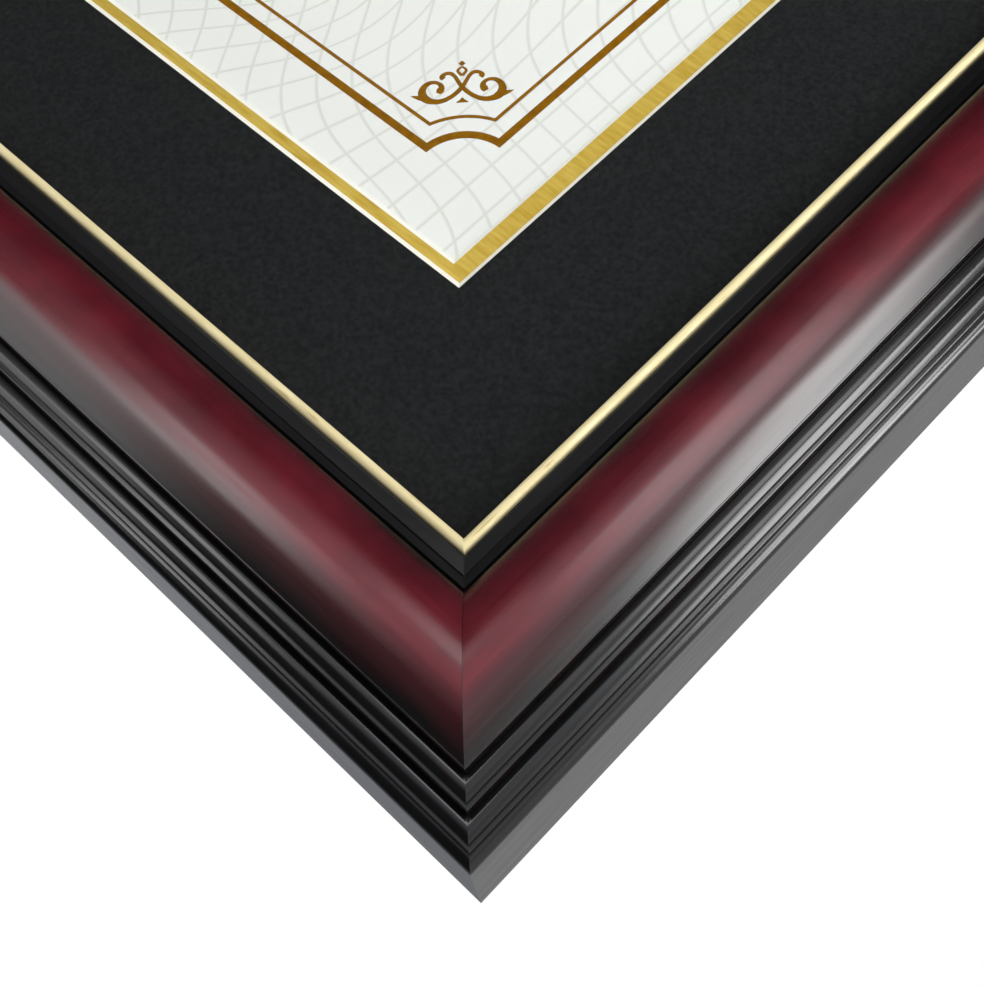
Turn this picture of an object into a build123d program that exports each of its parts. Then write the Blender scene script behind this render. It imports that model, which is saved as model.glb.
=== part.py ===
"""Certificate frame: mitred moulding, glass, double mat, document and a back held in by turn buttons.

Millimetres. +X is to the viewer's right, +Z is up and -Y faces the viewer. The origin is the point of
the top hanger's middle notch that hangs on a nail, on the plane of the wall, so the frame lies in -Y.
"""
import os
from math import cos, radians, sin

from build123d import *

# The document and the boards that lie with it in the rabbet, from the glass to the back
document_width = 279.4
document_height = 215.9
document_thickness = 0.3
glass_thickness = 2.0
mat_thickness = 1.5
mount_board_thickness = 1.5
filler_board_thickness = 4.9
backing_board_thickness = 3.0
backing_recess = 0.2
board_clearance = 0.8

# What shows inside the sight edge
mat_overlap = 3.2
side_reveal = 2.3
end_reveal = 3.8
side_border = 37.5
end_border = 39.1

# The moulding's section, from the sight edge outwards
rabbet_width = 6.0
slip_width = 1.7
slip_height = 6.4
bead_rise = 0.5
lip_height = 6.5
slip_quirk_width = 0.6
slip_quirk_depth = 0.8
slope_width = 2.3
slope_rise = 0.5
inner_step_drop = 0.35
inner_step_width = 1.6
inner_step_rise = 0.45
inner_step_sink = 0.3
groove_width = 0.7
groove_depth = 0.7
dome_width = 20.2
dome_rise = 3.4
ridge_rise = 1.9
ridge_width = 0.3
reed_count = 2
reed_quirk_drop = 2.3
reed_width = 3.05
reed_rise = 0.52
fillet_drop = 0.7
fillet_width = 0.8
foot_drop = 1.0
foot_ledge_width = 0.2
foot_round_radius = 1.7
arris_radius = 0.25

# Turn buttons and their screws
button_length = 26.0
button_width = 10.0
button_thickness = 1.0
button_edge_radius = 0.25
button_pivot_setback = 9.0
button_from_corner = 75.0
button_play = 0.05
screw_shank_radius = 1.75
screw_head_radius = 3.4
screw_head_height = 1.8
screw_rim_height = 0.5
screw_length = 13.0
screw_point_length = 3.0
recess_length = 3.6
recess_width = 0.8
recess_depth = 1.0
pivot_clearance = 0.05

# Sawtooth hangers and their nails
hanger_length = 48.0
hanger_height = 10.0
hanger_thickness = 0.9
hanger_foot_length = 10.0
hanger_joggle_length = 2.0
hanger_stand_off = 1.3
hanger_setback = 10.0
notch_pitch = 3.0
notch_depth = 1.6
notch_count = 7
nail_shank_radius = 0.8
nail_head_radius = 2.2
nail_head_thickness = 0.7
nail_length = 12.0
nail_hole_clearance = 0.1

# Corner joints, wall bumpers and the holes in the wood
v_nail_leg = 5.0
v_nail_half_angle = 52.0
v_nail_thickness = 0.6
v_nail_depth = 8.0
v_nail_insets = (13.0, 30.0)
bumper_radius = 5.5
bumper_height = 3.2
bumper_edge_radius = 0.8
bumper_from_corner = 48.0
wood_hole_clearance = 0.02

# Openings of the two mats: each bevel is cut at 45 degrees, so it runs back by the board's thickness
BEVEL_ANGLE = 45
paper_width = document_width - 2 * mat_overlap
paper_height = document_height - 2 * mat_overlap
under_mat_width = paper_width + 2 * mat_thickness
under_mat_height = paper_height + 2 * mat_thickness
top_mat_width = under_mat_width + 2 * (side_reveal + mat_thickness)
top_mat_height = under_mat_height + 2 * (end_reveal + mat_thickness)
sight_width = top_mat_width + 2 * side_border
sight_height = top_mat_height + 2 * end_border
board_width = sight_width + 2 * (rabbet_width - board_clearance)
board_height = sight_height + 2 * (rabbet_width - board_clearance)

# Depths, counted forwards from the back of the rails
rabbet_depth = (
    backing_recess
    + backing_board_thickness
    + 2 * filler_board_thickness
    + mount_board_thickness
    + document_thickness
    + 2 * mat_thickness
    + glass_thickness
)
face_depth = rabbet_depth + lip_height
step_top = face_depth - inner_step_sink
slope_top = step_top - inner_step_rise + inner_step_drop
slope_foot = slope_top - slope_rise

# Places in the part's own frame
back_y = -bumper_height
top_sight_z = -notch_depth - hanger_setback - rabbet_width
center = Vector(0, back_y, top_sight_z - sight_height / 2)
FORWARD = Vector(0, -1, 0)
TO_WALL = Vector(0, 1, 0)
OUTWARD = {
    "top": Vector(0, 0, 1),
    "bottom": Vector(0, 0, -1),
    "left": Vector(-1, 0, 0),
    "right": Vector(1, 0, 0),
}
RUN = {
    "top": Vector(1, 0, 0),
    "bottom": Vector(1, 0, 0),
    "left": Vector(0, 0, 1),
    "right": Vector(0, 0, 1),
}
END_NAMES = {
    "top": {-1: "left", 1: "right"},
    "bottom": {-1: "left", 1: "right"},
    "left": {-1: "lower", 1: "upper"},
    "right": {-1: "lower", 1: "upper"},
}


def half_run(side):
    """Half the length of a side's sight edge."""
    return sight_width / 2 if side in ("top", "bottom") else sight_height / 2


def half_reach(side):
    """The distance from the frame's centre to a side's sight edge."""
    return sight_height / 2 if side in ("top", "bottom") else sight_width / 2


def back_point(side, along, setback):
    """A point on the back of a rail, a setback outside the rabbet's wall."""
    return center + RUN[side] * along + OUTWARD[side] * (half_reach(side) + rabbet_width + setback)


def section_plane(side):
    """The plane of a rail's section: X outwards from the sight edge, Y forwards from the back."""
    return Plane(
        origin=center + OUTWARD[side] * half_reach(side),
        x_dir=OUTWARD[side],
        z_dir=OUTWARD[side].cross(FORWARD),
    )


def cut_mitres(side):
    """Cuts both ends of the piece being built at 45 degrees, through the sight corners."""
    for end in (-1, 1):
        corner = center + OUTWARD[side] * half_reach(side) + RUN[side] * (end * half_run(side))
        split(bisect_by=Plane(origin=corner, z_dir=RUN[side] * end - OUTWARD[side]), keep=Keep.BOTTOM)


def save(piece, name):
    """Labels a finished piece and writes its file."""
    piece.part.label = name
    export_step(piece.part, f"parts/{name}.step")


os.makedirs("parts", exist_ok=True)

# V-nails: a pair across each mitre, pressed in flush with the back, points towards the corner
with BuildPart() as v_nails:
    for side_x in (-1, 1):
        for side_z in (-1, 1):
            inward = Vector(-side_x, 0, -side_z).normalized()
            rabbet_corner = center + Vector(
                side_x * (sight_width / 2 + rabbet_width), 0, side_z * (sight_height / 2 + rabbet_width)
            )
            for inset in v_nail_insets:
                with BuildSketch(Plane(origin=rabbet_corner - inward * inset, x_dir=inward, z_dir=FORWARD)):
                    with BuildLine():
                        leg_x = v_nail_leg * cos(radians(v_nail_half_angle))
                        leg_y = v_nail_leg * sin(radians(v_nail_half_angle))
                        point_back = v_nail_thickness / sin(radians(v_nail_half_angle))
                        Polyline(
                            (0, 0),
                            (leg_x, leg_y),
                            (leg_x + point_back, leg_y),
                            (point_back, 0),
                            (leg_x + point_back, -leg_y),
                            (leg_x, -leg_y),
                            close=True,
                        )
                    make_face()
                extrude(amount=v_nail_depth)
save(v_nails, "corner_v_nails")


# Where each turn button pivots: two on each rail, each pointing at the frame's centre at rest
button_stations = {}
for side in OUTWARD:
    for end in (-1, 1):
        pivot = back_point(side, end * (half_run(side) - button_from_corner), button_pivot_setback)
        button_stations[f"turn_button_{side}_{END_NAMES[side][end]}"] = (side, pivot)

# Where each hanger's middle notch stands, on the back of its rail, and where its two nails go
hanger_notches = {
    "sawtooth_hanger_top": ("top", back_point("top", 0, hanger_setback + notch_depth)),
    "sawtooth_hanger_side": ("left", back_point("left", 0, hanger_setback + notch_depth)),
}
nail_stations = []
for side, notch in hanger_notches.values():
    for end in (-1, 1):
        nail_along = end * (hanger_length - hanger_foot_length) / 2
        nail_stations.append(
            (side, notch + RUN[side] * nail_along + OUTWARD[side] * (hanger_height / 2 - notch_depth))
        )


def drill(side, points, radius, depth):
    """Drills the rail being built from its back, at those points that lie on its side."""
    for point_side, point in points:
        if point_side == side:
            with Locations(Plane(origin=point, z_dir=TO_WALL)):
                Hole(radius=radius, depth=depth)


# Rails: one moulding, mitred, with a rabbet behind the lip
for side in OUTWARD:
    with BuildPart() as rail:
        with BuildSketch(section_plane(side)) as section:
            with BuildLine():
                slope_edge = slip_width + slip_quirk_width
                step_edge = slope_edge + slope_width
                groove_edge = step_edge + inner_step_width
                inner = Polyline(
                    (rabbet_width, 0),
                    (rabbet_width, rabbet_depth),
                    (slip_width, rabbet_depth),
                    (slip_width, slope_foot - slip_quirk_depth),
                    (slope_edge, slope_foot - slip_quirk_depth),
                    (slope_edge, slope_foot),
                    (step_edge, slope_top),
                    (step_edge, slope_top - inner_step_drop),
                    (groove_edge, step_top),
                    (groove_edge + groove_width / 2, step_top - groove_depth),
                    (groove_edge + groove_width, face_depth),
                )
                dome = SagittaArc(inner @ 1, inner @ 1 + Vector(dome_width, ridge_rise), dome_rise)
                ridge = Line(dome @ 1, dome @ 1 + Vector(ridge_width, 0))
                edge = ridge @ 1
                arrises = [edge]
                for _ in range(reed_count):
                    quirk = Line(edge, edge + Vector(0, -reed_quirk_drop))
                    reed = SagittaArc(quirk @ 1, quirk @ 1 + Vector(reed_width, 0), reed_rise)
                    step = Polyline(
                        reed @ 1,
                        reed @ 1 + Vector(0, -fillet_drop),
                        reed @ 1 + Vector(fillet_width, -fillet_drop),
                    )
                    edge = step @ 1
                    arrises.append(edge)
                foot = Polyline(
                    edge,
                    edge + Vector(0, -foot_drop),
                    edge + Vector(foot_ledge_width, -foot_drop),
                )
                side_edge = foot @ 1 + Vector(foot_round_radius, -foot_round_radius)
                RadiusArc(foot @ 1, side_edge, foot_round_radius)
                Polyline(side_edge, (side_edge.X, 0), (rabbet_width, 0))
            make_face()
            for arris in arrises:
                fillet(section.vertices().sort_by_distance(arris)[0], arris_radius)
        extrude(amount=half_run(side) + side_edge.X, both=True)
        cut_mitres(side)
        add(v_nails.part, mode=Mode.SUBTRACT)
        screw_points = [(place_side, pivot) for place_side, pivot in button_stations.values()]
        drill(side, screw_points, screw_shank_radius + wood_hole_clearance, screw_length)
        drill(side, nail_stations, nail_shank_radius + wood_hole_clearance, nail_length)
    save(rail, f"{side}_rail")

# Gilt slips: a round-topped strip along each sight edge, standing on the glass against the rail's lip
for side in OUTWARD:
    with BuildPart() as slip:
        with BuildSketch(section_plane(side)):
            with BuildLine():
                shoulder_depth = rabbet_depth + slip_height - bead_rise
                foot = Polyline(
                    (0, shoulder_depth),
                    (0, rabbet_depth),
                    (slip_width, rabbet_depth),
                    (slip_width, shoulder_depth),
                )
                SagittaArc(foot @ 0, foot @ 1, bead_rise)
            make_face()
        extrude(amount=half_run(side) + slip_width, both=True)
        cut_mitres(side)
    save(slip, f"{side}_gilt_slip")

# Boards in the rabbet, from the glass back. A mat has a bevelled window, given by its front size.
boards = [
    ("glass", glass_thickness, (board_width, board_height), None),
    ("black_top_mat", mat_thickness, (board_width, board_height), (top_mat_width, top_mat_height)),
    ("gold_under_mat", mat_thickness, (board_width, board_height), (under_mat_width, under_mat_height)),
    ("certificate", document_thickness, (document_width, document_height), None),
    ("mount_board", mount_board_thickness, (board_width, board_height), None),
    ("front_filler_board", filler_board_thickness, (board_width, board_height), None),
    ("rear_filler_board", filler_board_thickness, (board_width, board_height), None),
    ("backing_board", backing_board_thickness, (board_width, board_height), None),
]
board_front = center + FORWARD * rabbet_depth
for name, thickness, outline, window in boards:
    with BuildPart() as board:
        with BuildSketch(Plane(origin=board_front, x_dir=(1, 0, 0), z_dir=TO_WALL)):
            Rectangle(*outline)
        extrude(amount=thickness)
        if window:
            with BuildSketch(Plane(origin=board_front, x_dir=(1, 0, 0), z_dir=TO_WALL)):
                Rectangle(*window)
            extrude(amount=thickness, taper=BEVEL_ANGLE, mode=Mode.SUBTRACT)
    save(board, name)
    board_front = board_front + TO_WALL * thickness

# Turn buttons: round-ended steel strips, each free to turn on its screw
for name, (side, pivot) in button_stations.items():
    with BuildPart() as button:
        with BuildSketch(Plane(origin=pivot + TO_WALL * button_play, x_dir=-OUTWARD[side], z_dir=TO_WALL)):
            with Locations(((button_length - button_width) / 2, 0)):
                SlotOverall(button_length, button_width)
            Circle(screw_shank_radius + pivot_clearance, mode=Mode.SUBTRACT)
        extrude(amount=button_thickness)
        outer_edges = button.faces().sort_by(Axis.Y)[-1].outer_wire().edges()
        fillet(outer_edges, button_edge_radius)
    save(button, name)

# Screws: pan heads with a cross recess, over the turn buttons
with BuildPart() as screws:
    for side, pivot in button_stations.values():
        with BuildSketch(Plane(origin=pivot, x_dir=(1, 0, 0), z_dir=(0, 0, 1))):
            with BuildLine():
                seat = button_thickness + 2 * button_play
                shank = Polyline(
                    (0, -screw_length),
                    (screw_shank_radius, screw_point_length - screw_length),
                    (screw_shank_radius, seat),
                    (screw_head_radius, seat),
                    (screw_head_radius, seat + screw_rim_height),
                )
                crown = TangentArc(
                    (0, seat + screw_head_height), shank @ 1, tangent=(1, 0), tangent_from_first=True
                )
                Line(crown @ 0, shank @ 0)
            make_face()
        revolve(axis=Axis(pivot, TO_WALL))
        with Locations(Plane(origin=pivot + TO_WALL * (seat + screw_head_height), z_dir=TO_WALL)):
            Box(recess_length, recess_width, 2 * recess_depth, mode=Mode.SUBTRACT)
            Box(recess_width, recess_length, 2 * recess_depth, mode=Mode.SUBTRACT)
save(screws, "turn_button_screws")

# Sawtooth hangers: a strip joggled off the wood between its two feet, with notches along its inner edge
for name, (side, notch) in hanger_notches.items():
    with BuildPart() as hanger:
        lower_edge = notch - OUTWARD[side] * notch_depth
        with BuildSketch(Plane(origin=lower_edge, x_dir=TO_WALL.cross(OUTWARD[side]), z_dir=OUTWARD[side])):
            with BuildLine():
                foot_end = hanger_length / 2
                joggle_start = foot_end - hanger_foot_length
                joggle_end = joggle_start - hanger_joggle_length
                wood_side = [
                    (-foot_end, 0),
                    (-joggle_start, 0),
                    (-joggle_end, hanger_stand_off),
                    (joggle_end, hanger_stand_off),
                    (joggle_start, 0),
                    (foot_end, 0),
                ]
                wall_side = [(x, y + hanger_thickness) for x, y in reversed(wood_side)]
                Polyline(*wood_side, *wall_side, close=True)
            make_face()
        extrude(amount=hanger_height)
        with BuildSketch(Plane(origin=notch, x_dir=TO_WALL.cross(OUTWARD[side]), z_dir=TO_WALL)):
            with GridLocations(notch_pitch, 0, notch_count, 1):
                with BuildLine():
                    Polyline(
                        (0, 0),
                        (notch_pitch / 2, -notch_depth),
                        (-notch_pitch / 2, -notch_depth),
                        close=True,
                    )
                make_face()
        extrude(amount=bumper_height, mode=Mode.SUBTRACT)
        drill(side, nail_stations, nail_shank_radius + nail_hole_clearance, nail_length)
    save(hanger, name)

# Nails through the hangers' feet
with BuildPart() as nails:
    for side, point in nail_stations:
        with BuildSketch(Plane(origin=point + TO_WALL * hanger_thickness, z_dir=TO_WALL)):
            Circle(nail_head_radius)
        extrude(amount=nail_head_thickness)
        with BuildSketch(Plane(origin=point + TO_WALL * hanger_thickness, z_dir=FORWARD)):
            Circle(nail_shank_radius)
        extrude(amount=nail_length)
save(nails, "hanger_nails")

# Wall bumpers: rubber studs near the ends of the top and bottom rails
with BuildPart() as bumpers:
    for side in ("top", "bottom"):
        for end in (-1, 1):
            along = end * (half_run(side) + side_edge.X - bumper_from_corner)
            point = back_point(side, along, (side_edge.X - rabbet_width) / 2)
            with BuildSketch(Plane(origin=point, z_dir=TO_WALL)):
                Circle(bumper_radius)
            extrude(amount=bumper_height)
    fillet(bumpers.edges().group_by(Axis.Y)[-1], bumper_edge_radius)
save(bumpers, "wall_bumpers")

print("outer size", round(sight_width + 2 * side_edge.X, 2), round(sight_height + 2 * side_edge.X, 2))
print("rabbet depth", round(rabbet_depth, 2), "side face", round(side_edge.Y, 2))
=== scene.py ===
"""Looks of a framed certificate: finishes for every solid of the frame, the printed sheet, and a studio.

The file is laid out as an add-on, with one operator for each group of like pieces, and it is run as a script.
"""

from math import asin, pi, radians, sqrt

import bmesh
import bpy
from bpy.props import FloatProperty, FloatVectorProperty, IntProperty, PointerProperty
from mathutils import Matrix, Vector


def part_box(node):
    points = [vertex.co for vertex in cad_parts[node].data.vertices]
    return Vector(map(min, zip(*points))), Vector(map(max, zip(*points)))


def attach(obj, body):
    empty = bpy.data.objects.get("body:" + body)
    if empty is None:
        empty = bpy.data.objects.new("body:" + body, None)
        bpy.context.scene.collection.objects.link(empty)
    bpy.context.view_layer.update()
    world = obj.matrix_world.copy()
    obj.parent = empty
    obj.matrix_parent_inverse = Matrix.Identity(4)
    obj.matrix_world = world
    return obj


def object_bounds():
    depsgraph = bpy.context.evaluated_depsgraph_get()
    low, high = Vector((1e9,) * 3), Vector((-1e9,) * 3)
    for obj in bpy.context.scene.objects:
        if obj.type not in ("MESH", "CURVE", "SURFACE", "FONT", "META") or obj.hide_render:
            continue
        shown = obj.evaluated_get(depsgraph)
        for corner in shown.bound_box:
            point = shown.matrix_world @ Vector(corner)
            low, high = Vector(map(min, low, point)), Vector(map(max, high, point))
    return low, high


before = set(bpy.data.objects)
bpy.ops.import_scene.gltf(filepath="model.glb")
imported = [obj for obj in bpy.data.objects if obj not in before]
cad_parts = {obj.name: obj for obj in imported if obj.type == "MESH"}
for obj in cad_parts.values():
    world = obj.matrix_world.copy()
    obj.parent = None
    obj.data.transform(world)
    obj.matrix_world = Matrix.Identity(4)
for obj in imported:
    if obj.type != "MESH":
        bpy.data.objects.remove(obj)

bl_info = {
    "name": "Framed Certificate",
    "version": (1, 0, 0),
    "blender": (4, 5, 0),
    "location": "View3D > Sidebar > Framed Certificate",
    "description": "Finishes, print and studio for a moulded certificate frame",
    "category": "Object",
}

MM = 0.001
CAD_BOX = [list(corner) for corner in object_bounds()]

SIDES = ("top", "bottom", "left", "right")
CORNERS = ((1, 1), (-1, 1), (-1, -1), (1, -1))
BUTTONS = (
    "top_left",
    "top_right",
    "bottom_left",
    "bottom_right",
    "left_lower",
    "left_upper",
    "right_lower",
    "right_upper",
)

SIGHT_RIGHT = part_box("right_gilt_slip")[0].x
SIGHT_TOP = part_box("top_gilt_slip")[0].z
SIGHT_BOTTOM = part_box("bottom_gilt_slip")[1].z
HALF_SIGHT_HEIGHT = (SIGHT_TOP - SIGHT_BOTTOM) / 2
CENTRE_HEIGHT = (SIGHT_TOP + SIGHT_BOTTOM) / 2
MOULDING_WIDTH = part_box("right_rail")[1].x - SIGHT_RIGHT
PAPER_LOW, PAPER_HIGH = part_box("certificate")
HALF_PAPER_WIDTH = PAPER_HIGH.x
HALF_PAPER_HEIGHT = (PAPER_HIGH.z - PAPER_LOW.z) / 2

# The Mix node's colour and number sockets share their names, so they are picked by place.
COLOUR_A, COLOUR_B, COLOUR_OUT = 6, 7, 2
NUMBER_A, NUMBER_B, NUMBER_OUT = 2, 3, 0

LACQUER_INDEX = 1.55
COATED_GLASS_INDEX = 1.06
BARE_WOOD_ROUGHNESS = 0.78
CUT_CORE_ROUGHNESS = 0.9
SENSOR_SIZE = 36


def linear(hex_colour):
    """Linear red, green and blue, and a full alpha, of an sRGB hex value."""
    parts = [int(hex_colour[i : i + 2], 16) / 255 for i in (1, 3, 5)]
    light = [p / 12.92 if p <= 0.04045 else ((p + 0.055) / 1.055) ** 2.4 for p in parts]
    return (*light, 1.0)


def per_metre(size_mm):
    """Pattern scale whose features are this many millimetres across."""
    return 1 / (size_mm * MM)


def colour(name, hex_colour, description):
    """A colour property with an sRGB hex default."""
    return FloatVectorProperty(
        name=name, description=description, subtype="COLOR", size=4, min=0, max=1, default=linear(hex_colour)
    )


def length(name, size_mm, description):
    """A length property with a default in millimetres."""
    return FloatProperty(name=name, description=description, unit="LENGTH", default=size_mm * MM)


class MouldingLook(bpy.types.PropertyGroup):
    """Colours of the four rails and of the gilt slip inside them."""

    deep_red: colour("Deep red", "#43111A", "Stain on the inner flank of the dome")
    warm_red: colour("Warm red", "#5F121D", "Stain on the crown of the dome")
    dark_red: colour("Dark red", "#3D1016", "Stain where the black mist begins to cover it")
    black: colour("Black", "#0D0D0E", "Sprayed black of the inner slope, the reeds and the sides")
    # The rubbed edge colour is partly wear and partly a painted highlight on the arrises of the ridge and the
    # reeds.
    rubbed: colour("Rubbed edge", "#6A443D", "Brown that shows where an edge is rubbed through")
    wood_pale: colour("Pale wood", "#C8A678", "Early wood on the unpainted back")
    wood_dark: colour("Dark wood", "#A37E50", "Late wood on the unpainted back")
    leaf: colour("Gold leaf", "#E2D3A2", "Gilding of the slip")
    leaf_pale: colour("Pale leaf", "#ECE0B4", "Gilding where two leaves overlap")
    bole: colour("Bole", "#C8B27E", "Clay that shows where the leaf is rubbed")
    mist_reach: length("Mist reach", 0.9, "How far the edges of the sprayed colours wander")
    grain_pitch: length("Grain pitch", 0.9, "Spacing of the fine streaks along a rail")


class MountLook(bpy.types.PropertyGroup):
    """Colours of the mats and of the boards behind the sheet."""

    black_face: colour("Black face", "#0B0C0D", "Paper on the front of the upper mat")
    black_fleck: colour("Black fleck", "#232425", "Paler grain of the black paper")
    gold_face: colour("Gold face", "#C5A02F", "Foil paper on the front of the lower mat")
    gold_light: colour("Gold highlight", "#DCBE58", "Brushed streaks of the foil paper")
    core: colour("Core", "#F6F4EC", "Board that the cut bevels show")
    mount: colour("Mount", "#E9E4D6", "Board behind the sheet")
    filler: colour("Filler", "#B89C79", "Kraft filler boards")
    filler_fleck: colour("Filler fleck", "#9A7F5D", "Darker fibres of the filler boards")
    hardboard: colour("Hardboard", "#5E4532", "Pressed fibre of the backing board")
    hardboard_fleck: colour("Hardboard fleck", "#7A5E45", "Paler fibres of the backing board")
    tooth: length("Paper tooth", 0.9, "Size of the grain of the mat papers")


class PrintLook(bpy.types.PropertyGroup):
    """Sizes and colours of the printed sheet."""

    paper: colour("Paper", "#ECECEA", "Sheet of the certificate")
    tint: colour("Tint line", "#DBDCD8", "Fine crossing lines under the print")
    ink: colour("Ink", "#8A5D05", "Border and corner scrolls")
    ink_dark: colour("Dark ink", "#774D04", "Border and corner scrolls where the ink lies thick")
    side_inset: length("Side inset", 17.6, "From the side edges of the sheet to the border")
    end_inset: length("End inset", 15.1, "From the top and bottom edges of the sheet to the border")
    thick_line: length("Thick line", 1.75, "Width of the outer line")
    thin_line: length("Thin line", 0.78, "Width of the inner line")
    line_gap: length("Line gap", 3.3, "Gap between the two lines")
    thick_notch: length("Thick notch", 10.1, "Radius of the outer line's notches, about its own corners")
    thin_notch: length("Thin notch", 15.15, "Radius of the inner line's notches, about the same corners")
    film: length("Ink film", 0.03, "Thickness of the printed lines")
    scroll_gap: length("Scroll gap", 3.2, "From the inner line's notch to the foot of the scrolls")
    tint_pitch: length("Tint pitch", 7.3, "Spacing of the fine lines")
    tint_width: length("Tint width", 0.7, "Width of the fine lines")
    notch_steps: IntProperty(name="Notch steps", description="Facets in each notch", default=16, min=4)


class FittingLook(bpy.types.PropertyGroup):
    """Colours of the metal and rubber on the back."""

    zinc: colour("Zinc", "#B7B9BC", "Plate of the turn buttons and their screws")
    zinc_dull: colour("Dull zinc", "#8F9296", "Clouding in the zinc")
    brass: colour("Brass", "#C9A449", "Plate of the hangers and their nails")
    brass_dull: colour("Dull brass", "#9C7A33", "Tarnish in the brass")
    steel: colour("Steel", "#8B8C8E", "Corner nails")
    rubber: colour("Rubber", "#1D1D1F", "Bumpers")


class StageLook(bpy.types.PropertyGroup):
    """Floor, light and camera."""

    floor: colour("Floor", "#EDEDEB", "Plain pale floor")
    gloss_tint: colour("Gloss tint", "#F4F7FF", "Cool cast of what gloss sees")
    floor_drop: FloatProperty(name="Floor drop", description="Below the frame", unit="LENGTH", default=0.5)
    floor_size: FloatProperty(name="Floor size", description="Side of the floor", unit="LENGTH", default=5.0)
    lens: FloatProperty(name="Lens", description="Focal length in millimetres", default=54.314)
    ambient: FloatProperty(name="Ambient", description="Strength of the world's light", default=0.38)
    bright_room: FloatProperty(name="Bright room", description="What gloss sees on the right", default=0.95)
    dark_room: FloatProperty(name="Dark room", description="What gloss sees on the left", default=0.04)
    backdrop: FloatProperty(name="Backdrop", description="What gloss sees behind", default=0.37)


LOOKS = {
    "certificate_moulding": MouldingLook,
    "certificate_mount": MountLook,
    "certificate_print": PrintLook,
    "certificate_fitting": FittingLook,
    "certificate_stage": StageLook,
}


def new_material(name):
    """A node material, its tree, its shader and its Object coordinates."""
    material = bpy.data.materials.new(name)
    material.use_nodes = True
    tree = material.node_tree
    return material, tree, tree.nodes["Principled BSDF"], add(tree, "ShaderNodeTexCoord").outputs["Object"]


def fill(tree, node, inputs):
    """Sets a node's inputs, each from a value or from another node's socket."""
    for key, value in inputs.items():
        if isinstance(value, bpy.types.NodeSocket):
            tree.links.new(value, node.inputs[key])
        else:
            node.inputs[key].default_value = value


def add(tree, kind, inputs=None, stops=None, **settings):
    """Adds a node with its settings, inputs and colour stops."""
    node = tree.nodes.new(kind)
    for name, value in settings.items():
        setattr(node, name, value)
    fill(tree, node, inputs or {})
    if stops:
        elements = node.color_ramp.elements
        while len(elements) < len(stops):
            elements.new(1.0)
        for element, (place, shade) in zip(elements, stops):
            element.position = place
            element.color = shade if hasattr(shade, "__len__") else (shade, shade, shade, 1)
    return node


def dress(names, material):
    """Puts a material on CAD nodes."""
    for name in names:
        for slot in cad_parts[name].material_slots:
            slot.material = material


def place_piece(name, mesh_builder, material):
    """Turns a bmesh into a finished piece of the frame."""
    bmesh.ops.recalc_face_normals(mesh_builder, faces=mesh_builder.faces)
    mesh = bpy.data.meshes.new(name)
    mesh_builder.to_mesh(mesh)
    mesh_builder.free()
    piece = bpy.data.objects.new(name, mesh)
    bpy.context.scene.collection.objects.link(piece)
    mesh.materials.append(material)
    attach(piece, "frame")
    return piece


def rail_measures(tree, place):
    """Sockets for the place across a rail, along it and off the mitre, and for the depth."""
    spot = add(tree, "ShaderNodeSeparateXYZ", {0: place})
    width = add(tree, "ShaderNodeMath", {0: spot.outputs["X"]}, operation="ABSOLUTE")
    sideways = add(tree, "ShaderNodeMath", {0: width.outputs[0], 1: SIGHT_RIGHT}, operation="SUBTRACT")
    raised = add(tree, "ShaderNodeMath", {0: spot.outputs["Z"], 1: CENTRE_HEIGHT}, operation="SUBTRACT")
    height = add(tree, "ShaderNodeMath", {0: raised.outputs[0]}, operation="ABSOLUTE")
    upright = add(tree, "ShaderNodeMath", {0: height.outputs[0], 1: HALF_SIGHT_HEIGHT}, operation="SUBTRACT")
    outwards = {0: sideways.outputs[0], 1: upright.outputs[0]}
    across = add(tree, "ShaderNodeMath", outwards, operation="MAXIMUM")
    on_side = add(tree, "ShaderNodeMath", outwards, operation="GREATER_THAN")
    along = add(
        tree,
        "ShaderNodeMix",
        {0: on_side.outputs[0], NUMBER_A: spot.outputs["X"], NUMBER_B: spot.outputs["Z"]},
        data_type="FLOAT",
    )
    lean = add(tree, "ShaderNodeMath", outwards, operation="SUBTRACT")
    mitre = add(tree, "ShaderNodeMath", {0: lean.outputs[0]}, operation="ABSOLUTE")
    return across.outputs[0], along.outputs[NUMBER_OUT], mitre.outputs[0], spot.outputs["Y"]


def rail_stops(*stops):
    """Colour stops whose places are millimetres from the sight edge, across a rail."""
    return [(place * MM / MOULDING_WIDTH, shade) for place, shade in stops]


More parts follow.
